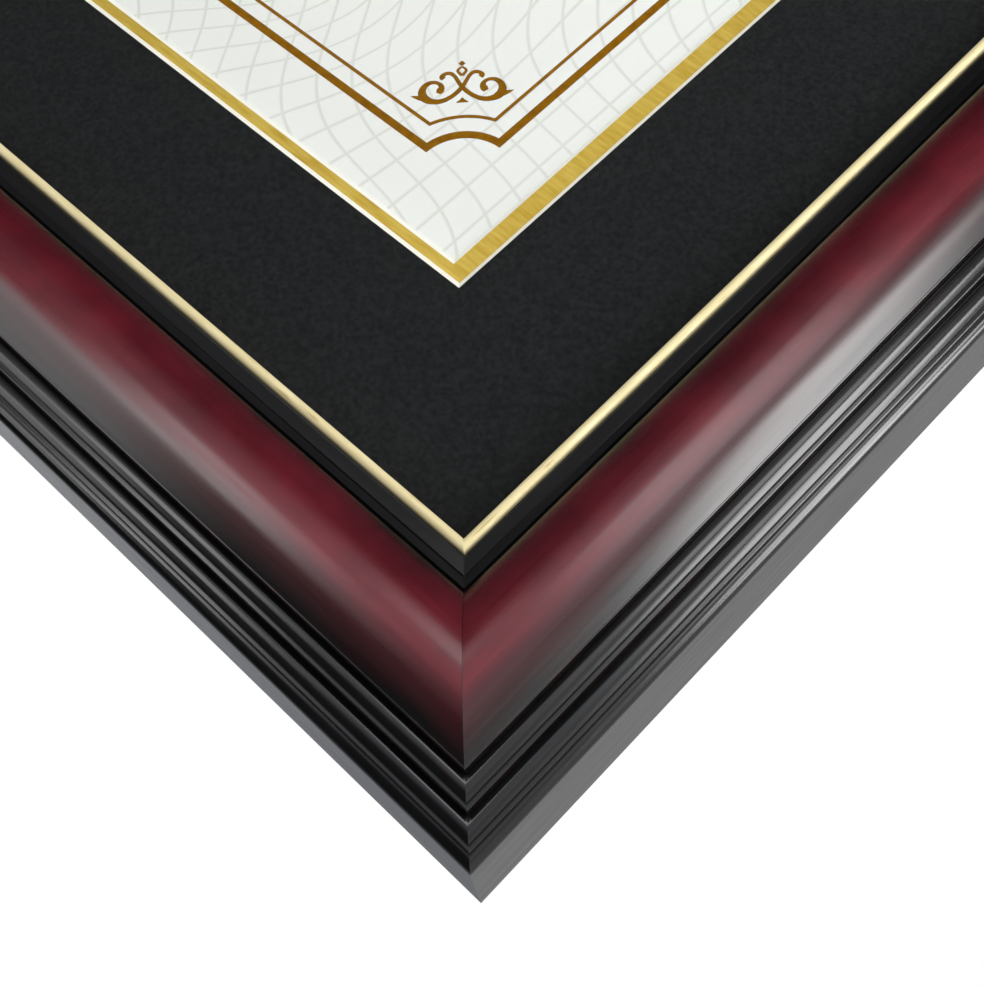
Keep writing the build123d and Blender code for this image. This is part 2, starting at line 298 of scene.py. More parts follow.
def shaded_lacquer(look):
    """Satin lacquer over stained basswood, misted from red to black, with a bare back."""
    # Sprayed shading: the colour follows the section, so each dome is red inside and black outside.
    material, tree, shader, place = new_material("shaded_satin_lacquer")
    across, along, mitre, depth = rail_measures(tree, place)
    cloud = add(tree, "ShaderNodeTexNoise", {"Vector": place, "Scale": per_metre(14), "Detail": 3.0})
    wander = add(
        tree,
        "ShaderNodeMapRange",
        {"Value": cloud.outputs[0], 1: 0.25, 2: 0.75, 3: -look.mist_reach, 4: look.mist_reach},
    )
    misted = add(tree, "ShaderNodeMath", {0: across, 1: wander.outputs[0]}, operation="ADD")
    share = add(tree, "ShaderNodeMath", {0: misted.outputs[0], 1: MOULDING_WIDTH}, operation="DIVIDE")
    dome = add(
        tree,
        "ShaderNodeValToRGB",
        {0: share.outputs[0]},
        stops=rail_stops(
            (6.6, look.black),
            (8.3, look.deep_red),
            (17.8, look.warm_red),
            (19.2, look.warm_red),
            (21.6, look.dark_red),
            (26.8, look.black),
        ),
    )
    # Only the dome is red: the inner slope and the reeds were masked and stay black.
    exact = add(tree, "ShaderNodeMath", {0: across, 1: MOULDING_WIDTH}, operation="DIVIDE")
    masked = add(
        tree,
        "ShaderNodeValToRGB",
        {0: exact.outputs[0]},
        stops=rail_stops((6.6, 0.0), (6.85, 1.0), (27.3, 1.0), (27.6, 0.0)),
    )
    paint = add(
        tree,
        "ShaderNodeMix",
        {0: masked.outputs[0], COLOUR_A: look.black, COLOUR_B: dome.outputs[0]},
        data_type="RGBA",
    )
    # Fine streaks of the wood that telegraph through the lacquer, long in the direction of the rail.
    rail_place = add(tree, "ShaderNodeCombineXYZ", {0: along, 1: across, 2: depth})
    fine = 1 / look.grain_pitch
    stretched = add(
        tree,
        "ShaderNodeMapping",
        {"Vector": rail_place.outputs[0], "Scale": (per_metre(22), fine, fine)},
    )
    streaks = add(tree, "ShaderNodeTexNoise", {"Vector": stretched.outputs[0], "Scale": 1.0, "Detail": 3.0})
    shade = add(tree, "ShaderNodeMapRange", {"Value": streaks.outputs[0], 1: 0.3, 2: 0.7, 3: 0.92, 4: 1.08})
    patches = add(tree, "ShaderNodeMapRange", {"Value": cloud.outputs[0], 1: 0.3, 2: 0.7, 3: 0.76, 4: 1.2})
    mottle = add(tree, "ShaderNodeMath", {0: shade.outputs[0], 1: patches.outputs[0]}, operation="MULTIPLY")
    streaked = add(
        tree, "ShaderNodeHueSaturation", {"Value": mottle.outputs[0], "Color": paint.outputs[COLOUR_OUT]}
    )
    # Rubbed arrises and painted highlights: faint broken lines of paler brown run along the ridge and the
    # reeds. They stand both for edges rubbed through and for the highlights that these rounded edges catch.
    edges = add(
        tree,
        "ShaderNodeValToRGB",
        {0: exact.outputs[0]},
        stops=rail_stops(
            (26.9, 0.0),
            (27.2, 0.5),
            (27.45, 0.0),
            (28.3, 0.0),
            (28.9, 0.25),
            (29.5, 0.0),
            (30.9, 0.0),
            (31.15, 0.3),
            (31.3, 0.0),
            (34.8, 0.0),
            (35.0, 0.3),
            (35.15, 0.0),
        ),
    )
    breaks = add(tree, "ShaderNodeTexNoise", {"Vector": place, "Scale": per_metre(5), "Detail": 4.0})
    broken = add(tree, "ShaderNodeMapRange", {"Value": breaks.outputs[0], 1: 0.4, 2: 0.65, 3: 0.05, 4: 0.4})
    worn = add(tree, "ShaderNodeMath", {0: edges.outputs[0], 1: broken.outputs[0]}, operation="MULTIPLY")
    rubbed = add(
        tree,
        "ShaderNodeMix",
        {0: worn.outputs[0], COLOUR_A: streaked.outputs[0], COLOUR_B: look.rubbed},
        data_type="RGBA",
    )
    # The back is bare basswood, with a mist of overspray along its outer edge.
    facing = add(tree, "ShaderNodeSeparateXYZ", {0: place.node.outputs["Normal"]})
    back = add(tree, "ShaderNodeMath", {0: facing.outputs["Y"], 1: 0.5}, operation="GREATER_THAN")
    wood_place = add(
        tree,
        "ShaderNodeMapping",
        {"Vector": rail_place.outputs[0], "Scale": (per_metre(90), per_metre(2.2), per_metre(2.2))},
    )
    rings = add(
        tree,
        "ShaderNodeTexNoise",
        {"Vector": wood_place.outputs[0], "Scale": 1.0, "Detail": 6.0, "Roughness": 0.62, "Distortion": 0.4},
    )
    wood = add(
        tree,
        "ShaderNodeValToRGB",
        {0: rings.outputs[0]},
        stops=[(0.34, look.wood_dark), (0.62, look.wood_pale)],
    )
    spray = add(
        tree, "ShaderNodeMapRange", {"Value": misted.outputs[0], 1: 32 * MM, 2: 37.5 * MM, 3: 0.0, 4: 0.85}
    )
    sprayed = add(
        tree,
        "ShaderNodeMix",
        {0: spray.outputs[0], COLOUR_A: wood.outputs[0], COLOUR_B: look.black},
        data_type="RGBA",
    )
    faced = add(
        tree,
        "ShaderNodeMix",
        {0: back.outputs[0], COLOUR_A: rubbed.outputs[COLOUR_OUT], COLOUR_B: sprayed.outputs[COLOUR_OUT]},
        data_type="RGBA",
    )
    # The glue line of a mitre is a hair of dark filler, in front and behind.
    hair = add(tree, "ShaderNodeMapRange", {"Value": mitre, 1: 0.05 * MM, 2: 0.22 * MM, 3: 0.55, 4: 0.0})
    joined = add(
        tree,
        "ShaderNodeMix",
        {0: hair.outputs[0], COLOUR_A: faced.outputs[COLOUR_OUT], COLOUR_B: look.black},
        data_type="RGBA",
    )
    # The dome is satin, the reeds and the foot are a little glossier, and the sides are duller.
    finish = add(
        tree,
        "ShaderNodeValToRGB",
        {0: exact.outputs[0]},
        stops=rail_stops((27.2, 0.22), (27.5, 0.19), (36.2, 0.19), (36.8, 0.3)),
    )
    rubbing = add(tree, "ShaderNodeMapRange", {"Value": streaks.outputs[0], 1: 0.3, 2: 0.7, 3: 0.88, 4: 1.12})
    satin = add(tree, "ShaderNodeMath", {0: finish.outputs[0], 1: rubbing.outputs[0]}, operation="MULTIPLY")
    roughness = add(
        tree,
        "ShaderNodeMix",
        {0: back.outputs[0], NUMBER_A: satin.outputs[0], NUMBER_B: BARE_WOOD_ROUGHNESS},
        data_type="FLOAT",
    )
    relief = add(
        tree,
        "ShaderNodeMix",
        {0: back.outputs[0], NUMBER_A: streaks.outputs[0], NUMBER_B: rings.outputs[0]},
        data_type="FLOAT",
    )
    bump = add(
        tree,
        "ShaderNodeBump",
        {"Height": relief.outputs[NUMBER_OUT], "Strength": 0.12, "Distance": 0.03 * MM},
    )
    fill(
        tree,
        shader,
        {
            "Base Color": joined.outputs[COLOUR_OUT],
            "Roughness": roughness.outputs[NUMBER_OUT],
            "Normal": bump.outputs[0],
            "IOR": LACQUER_INDEX,
        },
    )
    return material


def gold_leaf(look):
    """Satin gold leaf on clay, rubbed a little along the bead."""
    # Leaf over a rounded bead: a bright warm line with faint laps and a few rubbed spots.
    material, tree, shader, place = new_material("satin_gold_leaf")
    across, along, _, depth = rail_measures(tree, place)
    rail_place = add(tree, "ShaderNodeCombineXYZ", {0: along, 1: across, 2: depth})
    laid = add(
        tree,
        "ShaderNodeMapping",
        {"Vector": rail_place.outputs[0], "Scale": (per_metre(9), per_metre(0.8), per_metre(0.8))},
    )
    laps = add(tree, "ShaderNodeTexNoise", {"Vector": laid.outputs[0], "Scale": 1.0, "Detail": 4.0})
    tone = add(
        tree,
        "ShaderNodeValToRGB",
        {0: laps.outputs[0]},
        stops=[(0.28, look.bole), (0.36, look.leaf), (0.5, look.leaf), (0.68, look.leaf_pale)],
    )
    polish = add(tree, "ShaderNodeMapRange", {"Value": laps.outputs[0], 1: 0.3, 2: 0.7, 3: 0.62, 4: 0.54})
    bump = add(tree, "ShaderNodeBump", {"Height": laps.outputs[0], "Strength": 0.2, "Distance": 0.03 * MM})
    fill(
        tree,
        shader,
        {
            "Base Color": tone.outputs[0],
            "Roughness": polish.outputs[0],
            "Normal": bump.outputs[0],
            "Metallic": 0.22,
        },
    )
    return material


def coated_glass():
    """Picture glass with a coating that kills most of its shine."""
    # Float glass, coated on both sides: it hides itself, and shines faintly at a slant.
    material, tree, shader, place = new_material("coated_picture_glass")
    clear = add(tree, "ShaderNodeBsdfTransparent", {"Color": (0.985, 0.99, 0.985, 1)})
    # The coating cuts the gloss of bare glass to that of a much lower index.
    gloss = add(tree, "ShaderNodeFresnel", {"IOR": COATED_GLASS_INDEX})
    smears = add(tree, "ShaderNodeTexNoise", {"Vector": place, "Scale": per_metre(60), "Detail": 3.0})
    wiped = add(tree, "ShaderNodeMapRange", {"Value": smears.outputs[0], 1: 0.35, 2: 0.7, 3: 0.015, 4: 0.06})
    fill(tree, shader, {"Base Color": (1, 1, 1, 1), "Metallic": 1.0, "Roughness": wiped.outputs[0]})
    pane = add(tree, "ShaderNodeMixShader", {0: gloss.outputs[0], 1: clear.outputs[0], 2: shader.outputs[0]})
    tree.links.new(pane.outputs[0], tree.nodes["Material Output"].inputs["Surface"])
    return material


def mat_board(name, look, face_dark, face_light, metallic, gloss, sheen, stretch):
    """Paper-faced mat board whose bevels show a pale core."""
    # Coloured paper on a pressed core: a fine tooth in front, and a clean pale line where the window is cut.
    # The tooth is drawn several times coarser than that of real paper, so that it shows.
    material, tree, shader, place = new_material(name)
    grained = add(
        tree,
        "ShaderNodeMapping",
        {"Vector": place, "Scale": (1 / look.tooth, 1 / look.tooth, stretch / look.tooth)},
    )
    tooth = add(tree, "ShaderNodeTexNoise", {"Vector": grained.outputs[0], "Scale": 1.0, "Detail": 4.0})
    face = add(
        tree, "ShaderNodeValToRGB", {0: tooth.outputs[0]}, stops=[(0.32, face_dark), (0.7, face_light)]
    )
    facing = add(tree, "ShaderNodeSeparateXYZ", {0: place.node.outputs["Normal"]})
    cut = add(tree, "ShaderNodeMath", {0: facing.outputs["Y"], 1: -0.9}, operation="GREATER_THAN")
    fibre = add(tree, "ShaderNodeMapRange", {"Value": tooth.outputs[0], 1: 0.3, 2: 0.7, 3: 0.95, 4: 1.03})
    core = add(tree, "ShaderNodeHueSaturation", {"Value": fibre.outputs[0], "Color": look.core})
    shown = add(
        tree,
        "ShaderNodeMix",
        {0: cut.outputs[0], COLOUR_A: face.outputs[0], COLOUR_B: core.outputs[0]},
        data_type="RGBA",
    )
    paper = add(
        tree, "ShaderNodeMapRange", {"Value": tooth.outputs[0], 1: 0.3, 2: 0.7, 3: sheen[0], 4: sheen[1]}
    )
    rough = add(
        tree,
        "ShaderNodeMix",
        {0: cut.outputs[0], NUMBER_A: paper.outputs[0], NUMBER_B: CUT_CORE_ROUGHNESS},
        data_type="FLOAT",
    )
    bump = add(tree, "ShaderNodeBump", {"Height": tooth.outputs[0], "Strength": 0.35, "Distance": 0.05 * MM})
    fill(
        tree,
        shader,
        {
            "Base Color": shown.outputs[COLOUR_OUT],
            "Roughness": rough.outputs[NUMBER_OUT],
            "Normal": bump.outputs[0],
            "Specular IOR Level": gloss,
        },
    )
    if metallic:
        foil = add(
            tree, "ShaderNodeMix", {0: cut.outputs[0], NUMBER_A: metallic, NUMBER_B: 0.0}, data_type="FLOAT"
        )
        tree.links.new(foil.outputs[NUMBER_OUT], shader.inputs["Metallic"])
    return material


def tinted_paper(look):
    """Certificate paper with a tint of fine wavy lines that cross."""
    # Smooth laid-finish stock, printed with a pale lattice that swells into long diamonds.
    material, tree, shader, place = new_material("tinted_certificate_paper")
    spot = add(tree, "ShaderNodeSeparateXYZ", {0: place})
    flat = add(tree, "ShaderNodeCombineXYZ", {0: spot.outputs["X"], 1: spot.outputs["Z"]})
    nets = []
    swell_rate = 2 * pi * per_metre(200)
    width = look.tint_width
    # Each row: direction of the lines in degrees, wave length, height and start in millimetres, and swell.
    for turn, wave, swing, start, swell in ((0.0, 85.0, 7.5, -103.0, 1.0), (57.0, 80.0, 5.9, -299.0, 0.0)):
        run = Vector((1, 0))
        run.rotate(Matrix.Rotation(radians(turn), 2))
        ahead = add(
            tree, "ShaderNodeVectorMath", {0: flat.outputs[0], 1: (run.x, run.y, 0)}, operation="DOT_PRODUCT"
        )
        aside = add(
            tree, "ShaderNodeVectorMath", {0: flat.outputs[0], 1: (-run.y, run.x, 0)}, operation="DOT_PRODUCT"
        )
        # With a swell of one, the waves grow towards the middle of the sheet and lie flat near its edges.
        turned = add(
            tree,
            "ShaderNodeMath",
            {0: aside.outputs["Value"], 1: swell_rate, 2: -CENTRE_HEIGHT * swell_rate},
            operation="MULTIPLY_ADD",
        )
        middle = add(tree, "ShaderNodeMath", {0: turned.outputs[0]}, operation="COSINE")
        height = add(
            tree,
            "ShaderNodeMath",
            {0: middle.outputs[0], 1: swell * swing * MM, 2: swing * MM},
            operation="MULTIPLY_ADD",
        )
        turns = add(
            tree,
            "ShaderNodeMath",
            {0: ahead.outputs["Value"], 1: 2 * pi * per_metre(wave), 2: -2 * pi * start / wave},
            operation="MULTIPLY_ADD",
        )
        sway = add(tree, "ShaderNodeMath", {0: turns.outputs[0]}, operation="COSINE")
        bent = add(
            tree,
            "ShaderNodeMath",
            {0: sway.outputs[0], 1: height.outputs[0], 2: aside.outputs["Value"]},
            operation="MULTIPLY_ADD",
        )
        off_line = add(
            tree, "ShaderNodeMath", {0: bent.outputs[0], 1: look.tint_pitch / 2}, operation="PINGPONG"
        )
        line = add(
            tree,
            "ShaderNodeMapRange",
            {"Value": off_line.outputs[0], 1: 0.15 * width, 2: 0.75 * width, 3: 1.0, 4: 0.0},
            interpolation_type="SMOOTHSTEP",
        )
        nets.append(line.outputs[0])
    lattice = add(tree, "ShaderNodeMath", {0: nets[0], 1: nets[1]}, operation="MAXIMUM")
    fibre = add(tree, "ShaderNodeTexNoise", {"Vector": place, "Scale": per_metre(0.7), "Detail": 4.0})
    drawn = add(
        tree,
        "ShaderNodeMix",
        {0: lattice.outputs[0], COLOUR_A: look.paper, COLOUR_B: look.tint},
        data_type="RGBA",
    )
    mottle = add(tree, "ShaderNodeMapRange", {"Value": fibre.outputs[0], 1: 0.3, 2: 0.7, 3: 0.985, 4: 1.01})
    sheet = add(
        tree, "ShaderNodeHueSaturation", {"Value": mottle.outputs[0], "Color": drawn.outputs[COLOUR_OUT]}
    )
    matt = add(tree, "ShaderNodeMapRange", {"Value": fibre.outputs[0], 1: 0.3, 2: 0.7, 3: 0.72, 4: 0.85})
    bump = add(tree, "ShaderNodeBump", {"Height": fibre.outputs[0], "Strength": 0.1, "Distance": 0.02 * MM})
    fill(
        tree,
        shader,
        {"Base Color": sheet.outputs[0], "Roughness": matt.outputs[0], "Normal": bump.outputs[0]},
    )
    return material


def bronze_ink(look):
    """Opaque bronze ink that lies a little uneven on the sheet."""
    # Offset ink: flat and warm, darker where it pooled.
    material, tree, shader, place = new_material("bronze_printing_ink")
    pools = add(tree, "ShaderNodeTexNoise", {"Vector": place, "Scale": per_metre(1.6), "Detail": 3.0})
    tone = add(
        tree, "ShaderNodeValToRGB", {0: pools.outputs[0]}, stops=[(0.3, look.ink_dark), (0.6, look.ink)]
    )
    dry = add(tree, "ShaderNodeMapRange", {"Value": pools.outputs[0], 1: 0.3, 2: 0.7, 3: 0.5, 4: 0.65})
    fill(
        tree,
        shader,
        {"Base Color": tone.outputs[0], "Roughness": dry.outputs[0], "Specular IOR Level": 0.05},
    )
    return material


def fibre_board(name, ground, fleck, fleck_mm, roughness):
    """Pressed fibre board with paler or darker flecks."""
    # Pulp pressed flat: a mottled ground with short fibres, matt or faintly waxed.
    material, tree, shader, place = new_material(name)
    mottle = add(tree, "ShaderNodeTexNoise", {"Vector": place, "Scale": per_metre(18), "Detail": 5.0})
    fibres = add(
        tree,
        "ShaderNodeTexNoise",
        {"Vector": place, "Scale": per_metre(fleck_mm), "Detail": 3.0, "Distortion": 1.2},
    )
    both = add(
        tree,
        "ShaderNodeMath",
        {0: mottle.outputs[0], 1: 0.45, 2: fibres.outputs[0]},
        operation="MULTIPLY_ADD",
    )
    tone = add(tree, "ShaderNodeValToRGB", {0: both.outputs[0]}, stops=[(0.55, ground), (0.95, fleck)])
    wax = add(
        tree,
        "ShaderNodeMapRange",
        {"Value": fibres.outputs[0], 1: 0.3, 2: 0.7, 3: roughness - 0.08, 4: roughness + 0.08},
    )
    bump = add(tree, "ShaderNodeBump", {"Height": fibres.outputs[0], "Strength": 0.3, "Distance": 0.06 * MM})
    fill(
        tree,
        shader,
        {"Base Color": tone.outputs[0], "Roughness": wax.outputs[0], "Normal": bump.outputs[0]},
    )
    return material


def plated_metal(name, bright, dull, cloud_mm, smooth, worn):
    """Plated sheet metal, clouded and finely scuffed."""
    # Thin plating on stamped steel: bright, with duller clouds and small scuffs.
    material, tree, shader, place = new_material(name)
    clouds = add(tree, "ShaderNodeTexNoise", {"Vector": place, "Scale": per_metre(cloud_mm), "Detail": 4.0})
    scuffs = add(tree, "ShaderNodeTexNoise", {"Vector": place, "Scale": per_metre(0.5), "Detail": 2.0})
    tone = add(tree, "ShaderNodeValToRGB", {0: clouds.outputs[0]}, stops=[(0.34, dull), (0.58, bright)])
    polish = add(
        tree, "ShaderNodeMapRange", {"Value": clouds.outputs[0], 1: 0.32, 2: 0.66, 3: worn, 4: smooth}
    )
    bump = add(tree, "ShaderNodeBump", {"Height": scuffs.outputs[0], "Strength": 0.12, "Distance": 0.02 * MM})
    fill(
        tree,
        shader,
        {
            "Base Color": tone.outputs[0],
            "Roughness": polish.outputs[0],
            "Normal": bump.outputs[0],
            "Metallic": 1.0,
        },
    )
    return material


def moulded_rubber(look):
    """Black moulded rubber with a dusty bloom."""
    # Soft rubber: dark, matt and faintly pitted.
    material, tree, shader, place = new_material("moulded_rubber")
    pits = add(tree, "ShaderNodeTexNoise", {"Vector": place, "Scale": per_metre(0.6), "Detail": 3.0})
    dust = add(tree, "ShaderNodeMapRange", {"Value": pits.outputs[0], 1: 0.3, 2: 0.75, 3: 0.8, 4: 1.7})
    tone = add(tree, "ShaderNodeHueSaturation", {"Value": dust.outputs[0], "Color": look.rubber})
    bloom = add(tree, "ShaderNodeMapRange", {"Value": pits.outputs[0], 1: 0.3, 2: 0.7, 3: 0.6, 4: 0.75})
    bump = add(tree, "ShaderNodeBump", {"Height": pits.outputs[0], "Strength": 0.2, "Distance": 0.05 * MM})
    fill(
        tree,
        shader,
        {"Base Color": tone.outputs[0], "Roughness": bloom.outputs[0], "Normal": bump.outputs[0]},
    )
    return material


def notched_loop(made, half_width, half_height, centre_step, notch, height, steps):
    """Edges of a rectangle round the sheet whose corners are cut back by arcs.

    Each arc's centre lies centre_step outside the rectangle's own corner, both ways.
    """
    ends = []
    edges = []
    reach = sqrt(notch**2 - centre_step**2)
    sweep = pi / 2 - 2 * asin(centre_step / notch)
    for right, up in CORNERS:
        centre = Vector(
            (right * (half_width + centre_step), height, CENTRE_HEIGHT + up * (half_height + centre_step))
        )
        # Round the sheet, each arc starts on the line that arrives at the corner.
        near, far = (centre_step, reach) if right == up else (reach, centre_step)
        first = made.verts.new(centre - Vector((right * near, 0, up * far)))
        before = set(made.edges)
        turned = bmesh.ops.spin(
            made, geom=[first], cent=centre, axis=(0, 1, 0), angle=sweep, steps=steps, use_duplicate=False
        )
        edges += [edge for edge in made.edges if edge not in before]
        last = next(part for part in turned["geom_last"] if isinstance(part, bmesh.types.BMVert))
        ends.append((first, last))
    for (_, last), (first, _) in zip(ends, ends[1:] + ends[:1]):
        edges.append(made.edges.new((last, first)))
    return edges


def notched_line(half_width, half_height, centre_step, notch, line_width, film, steps):
    """A printed line round the sheet, between two notched loops with the same arc centres."""
    made = bmesh.new()
    ink_face = PAPER_LOW.y - film
    outer = notched_loop(made, half_width, half_height, centre_step, notch, ink_face, steps)
    inner = notched_loop(
        made,
        half_width - line_width,
        half_height - line_width,
        centre_step + line_width,
        notch + line_width,
        ink_face,
        steps,
    )
    bmesh.ops.bridge_loops(made, edges=outer + inner)
    grown = bmesh.ops.extrude_face_region(made, geom=made.faces[:])
    sunk = [part for part in grown["geom"] if isinstance(part, bmesh.types.BMVert)]
    bmesh.ops.translate(made, verts=sunk, vec=(0, 1.3 * film, 0))
    return made


# Half of a corner scroll, in millimetres: right of its axis, up from its foot, and half the stroke's width.
SCROLL_STROKE = (
    (4.80, 2.75, 0.55),
    (4.40, 3.40, 0.80),
    (4.15, 4.35, 0.58),
    (4.75, 5.30, 0.42),
    (5.95, 5.65, 0.45),
    (7.15, 5.15, 0.58),
    (7.90, 4.00, 0.72),
    (7.95, 2.60, 0.88),
    (7.20, 1.35, 0.90),
    (5.70, 0.65, 0.68),
    (4.10, 0.70, 0.58),
    (2.60, 1.40, 0.52),
    (1.30, 2.45, 0.50),
    (0.35, 3.55, 0.50),
    (-0.35, 4.65, 0.46),
    (-0.95, 5.85, 0.42),
    (-1.55, 7.00, 0.42),
    (-2.45, 7.75, 0.46),
    (-3.55, 7.55, 0.46),
    (-4.05, 6.85, 0.52),
    (-3.65, 6.40, 0.55),
)
LEAF_STROKE = ((7.20, 1.45, 0.75), (8.40, 1.80, 0.62), (9.30, 2.10, 0.40), (10.30, 2.45, 0.06))
FINIAL_STROKE = (
    (0.0, 7.00, 0.35),
    (0.45, 7.55, 0.34),
    (0.85, 8.35, 0.30),
    (0.45, 8.95, 0.26),
    (0.0, 9.35, 0.20),
)
BEAD_STROKE = ((0.0, 9.55, 0.14), (0.0, 10.15, 0.72), (0.0, 10.85, 0.14))
FOOT_STROKE = ((0.0, 1.35, 0.06), (0.0, 0.80, 0.45), (0.0, 0.25, 1.15), (0.0, 0.00, 1.20))


def scroll_strokes(film):
    """The strokes of one corner scroll as a mesh, drawn upright at the origin and pressed flat."""
    drawing = bpy.data.curves.new("corner_scroll", "CURVE")
    drawing.dimensions = "3D"
    drawing.bevel_depth = MM
    drawing.bevel_resolution = 2
    drawing.resolution_u = 6
    drawing.use_fill_caps = True
    strokes = [BEAD_STROKE, FOOT_STROKE]
    for stroke in (SCROLL_STROKE, LEAF_STROKE, FINIAL_STROKE):
        strokes.append(stroke)
        strokes.append(tuple((-right, up, half) for right, up, half in stroke))
    for stroke in strokes:
        spline = drawing.splines.new("BEZIER")
        spline.bezier_points.add(len(stroke) - 1)
        for point, (right, up, half) in zip(spline.bezier_points, stroke):
            point.co = (right * MM, 0, up * MM)
            point.radius = half
            point.handle_left_type = "AUTO"
            point.handle_right_type = "AUTO"
    holder = bpy.data.objects.new("corner_scroll", drawing)
    bpy.context.scene.collection.objects.link(holder)
    bpy.context.view_layer.update()
    mesh = bpy.data.meshes.new_from_object(holder.evaluated_get(bpy.context.evaluated_depsgraph_get()))
    bpy.data.objects.remove(holder)
    made = bmesh.new()
    made.from_mesh(mesh)
    bpy.data.meshes.remove(mesh)
    bmesh.ops.remove_doubles(made, verts=made.verts, dist=0.002 * MM)
    bmesh.ops.scale(made, verts=made.verts, vec=(1, film / MM, 1))
    return made


class PIECES_OT_rails(bpy.types.Operator):
    """Lacquer the four rails of the moulding"""

    bl_idname = "certificate_frame.rails"
    bl_label = "Lacquer rails"

    def execute(self, context):
        dress([f"{side}_rail" for side in SIDES], shaded_lacquer(context.scene.certificate_moulding))
        return {"FINISHED"}


class PIECES_OT_gilt_slips(bpy.types.Operator):
    """Gild the slips at the sight edge"""

    bl_idname = "certificate_frame.gilt_slips"
    bl_label = "Gild slips"

    def execute(self, context):
        dress([f"{side}_gilt_slip" for side in SIDES], gold_leaf(context.scene.certificate_moulding))
        return {"FINISHED"}


class PIECES_OT_glass(bpy.types.Operator):
    """Fit the coated glass"""

    bl_idname = "certificate_frame.glass"
    bl_label = "Fit glass"

    def execute(self, context):
        dress(["glass"], coated_glass())
        return {"FINISHED"}


class PIECES_OT_mats(bpy.types.Operator):
    """Face the two mats with paper and foil"""

    bl_idname = "certificate_frame.mats"
    bl_label = "Face mats"

    def execute(self, context):
        look = context.scene.certificate_mount
        black = mat_board(
            "black_mat_paper",
            look,
            look.black_face,
            look.black_fleck,
            metallic=0.0,
            gloss=0.2,
            sheen=(0.8, 0.95),
            stretch=1.0,
        )
        gold = mat_board(
            "gold_foil_mat_paper",
            look,
            look.gold_face,
            look.gold_light,
            metallic=0.5,
            gloss=0.5,
            sheen=(0.42, 0.6),
            stretch=0.15,
        )
        dress(["black_top_mat"], black)
        dress(["gold_under_mat"], gold)
        return {"FINISHED"}


class PIECES_OT_sheet(bpy.types.Operator):
    """Tint the paper of the certificate"""

    bl_idname = "certificate_frame.sheet"
    bl_label = "Tint sheet"

    def execute(self, context):
        dress(["certificate"], tinted_paper(context.scene.certificate_print))
        return {"FINISHED"}


class PIECES_OT_border(bpy.types.Operator):
    """Print the double border and the corner scrolls"""

    bl_idname = "certificate_frame.border"
    bl_label = "Print border"

    def execute(self, context):
        look = context.scene.certificate_print
        ink = bronze_ink(look)
        half_width = HALF_PAPER_WIDTH - look.side_inset
        half_height = HALF_PAPER_HEIGHT - look.end_inset
        outer = notched_line(
            half_width, half_height, 0, look.thick_notch, look.thick_line, look.film, look.notch_steps
        )
        place_piece("printed_outer_line", outer, ink)
        step = look.thick_line + look.line_gap
        inner = notched_line(
            half_width - step,
            half_height - step,
            step,
            look.thin_notch,
            look.thin_line,
            look.film,
            look.notch_steps,
        )
        place_piece("printed_inner_line", inner, ink)
        scrolls = bmesh.new()
        foot = look.thin_notch + look.thin_line + look.scroll_gap
        for right, up in CORNERS:
            one = scroll_strokes(look.film)
            inward = Vector((-right, 0, -up)).normalized()
            upright = Matrix.Rotation(radians(-right * (135 if up > 0 else 45)), 3, "Y")
            corner = Vector((right * half_width, PAPER_LOW.y, CENTRE_HEIGHT + up * half_height))
            bmesh.ops.rotate(one, verts=one.verts, matrix=upright)
            bmesh.ops.translate(one, verts=one.verts, vec=corner + inward * foot)
            mesh = bpy.data.meshes.new("corner_scroll")
            one.to_mesh(mesh)
            one.free()
            scrolls.from_mesh(mesh)
            bpy.data.meshes.remove(mesh)
        place_piece("printed_corner_scrolls", scrolls, ink)
        return {"FINISHED"}


class PIECES_OT_boards(bpy.types.Operator):
    """Finish the mount, filler and backing boards"""

    bl_idname = "certificate_frame.boards"
    bl_label = "Finish boards"

    def execute(self, context):
        look = context.scene.certificate_mount
        dress(["mount_board"], fibre_board("mount_board_pulp", look.mount, look.core, 1.2, 0.88))
        kraft = fibre_board("kraft_filler_pulp", look.filler, look.filler_fleck, 2.0, 0.9)
        dress(["front_filler_board", "rear_filler_board"], kraft)
        brown = fibre_board("waxed_hardboard", look.hardboard, look.hardboard_fleck, 1.1, 0.55)
        dress(["backing_board"], brown)
        return {"FINISHED"}


class PIECES_OT_buttons(bpy.types.Operator):
    """Plate the turn buttons and their screws with zinc"""

    bl_idname = "certificate_frame.buttons"
    bl_label = "Plate turn buttons"

    def execute(self, context):
        look = context.scene.certificate_fitting
        zinc = plated_metal("zinc_plated_steel", look.zinc, look.zinc_dull, 7.0, 0.24, 0.42)
        dress([f"turn_button_{place}" for place in BUTTONS], zinc)
        dress(["turn_button_screws"], zinc)
        return {"FINISHED"}


class PIECES_OT_hangers(bpy.types.Operator):
    """Plate the hangers and their nails with brass, and brighten the corner nails"""

    bl_idname = "certificate_frame.hangers"
    bl_label = "Plate hangers"

    def execute(self, context):
        look = context.scene.certificate_fitting
        brass = plated_metal("brass_plated_steel", look.brass, look.brass_dull, 9.0, 0.22, 0.4)
        dress(["sawtooth_hanger_top", "sawtooth_hanger_side", "hanger_nails"], brass)
        steel = plated_metal("bare_rolled_steel", look.steel, look.zinc_dull, 3.0, 0.35, 0.5)
        dress(["corner_v_nails"], steel)
        return {"FINISHED"}


class PIECES_OT_bumpers(bpy.types.Operator):
    """Mould the wall bumpers in rubber"""

    bl_idname = "certificate_frame.bumpers"
    bl_label = "Mould bumpers"

    def execute(self, context):
        dress(["wall_bumpers"], moulded_rubber(context.scene.certificate_fitting))
        return {"FINISHED"}


